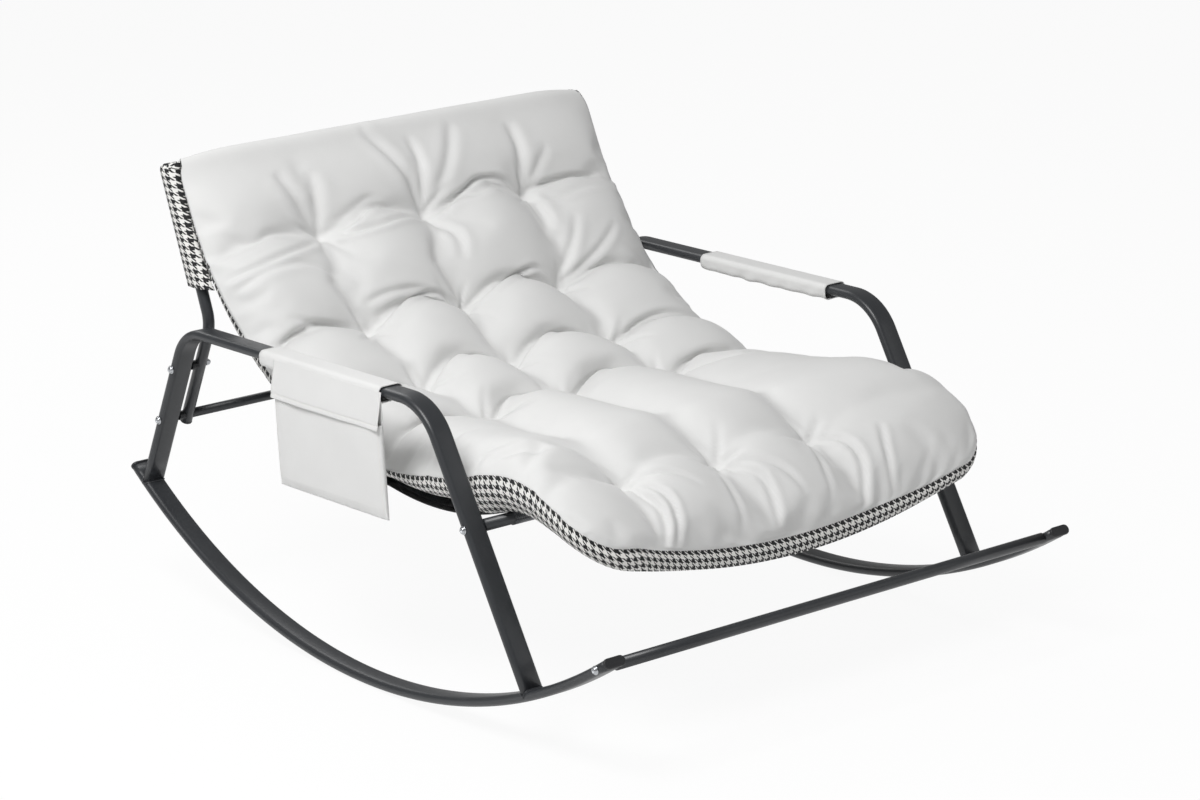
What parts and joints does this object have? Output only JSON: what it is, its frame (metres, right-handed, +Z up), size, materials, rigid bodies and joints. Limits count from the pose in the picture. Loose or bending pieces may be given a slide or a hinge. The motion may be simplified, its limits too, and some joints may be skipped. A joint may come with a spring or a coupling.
{
  "type": "rocking chaise lounge",
  "caption": "Wide rocking lounge seat on bent tube frames with curved rockers, a mesh hammock, a deep tufted cushion and a side pocket.",
  "frame": {"origin": "centre of the chair's outline on the floor, where the rockers' lowest line touches it within a centimetre", "axes": "+Z up from the floor, -Y towards the front where the sitter's legs point, +X across the chair, away from the side with the pouch"},
  "size_m": [1.2776, 1.5794, 0.9427],
  "materials": {
    "black_powder_coat": "satin",
    "black_plastic": "matte",
    "zinc_fasteners": "satin",
    "ivory_cloth": "matte",
    "black_mesh": "matte"
  },
  "bodies": {
    "root": {"back_cap_nuts": "zinc_fasteners", "back_frame": "black_powder_coat", "back_frame_spacers": "black_plastic", "cushion_hood": "ivory_cloth", "front_stabilizer_bar": "black_powder_coat", "left_arm_and_leg_tube": "black_powder_coat", "left_arm_sleeve": "ivory_cloth", "left_rocker": "black_powder_coat", "left_rocker_front_cap": "black_plastic", "left_rocker_rear_cap": "black_plastic", "left_upright_plug": "black_plastic", "lower_back_bolts": "zinc_fasteners", "mesh_sling": "black_mesh", "rear_crossbar": "black_powder_coat", "right_arm_and_leg_tube": "black_powder_coat", "right_arm_sleeve": "ivory_cloth", "right_rocker": "black_powder_coat", "right_rocker_front_cap": "black_plastic", "right_rocker_rear_cap": "black_plastic", "right_upright_plug": "black_plastic", "seat_bar_bolts": "zinc_fasteners", "seat_front_bar": "black_powder_coat", "side_pocket": "ivory_cloth", "stabilizer_bolts": "zinc_fasteners", "tufted_cushion": "ivory_cloth", "upper_back_bolts": "zinc_fasteners"}
  },
  "joints": []
}
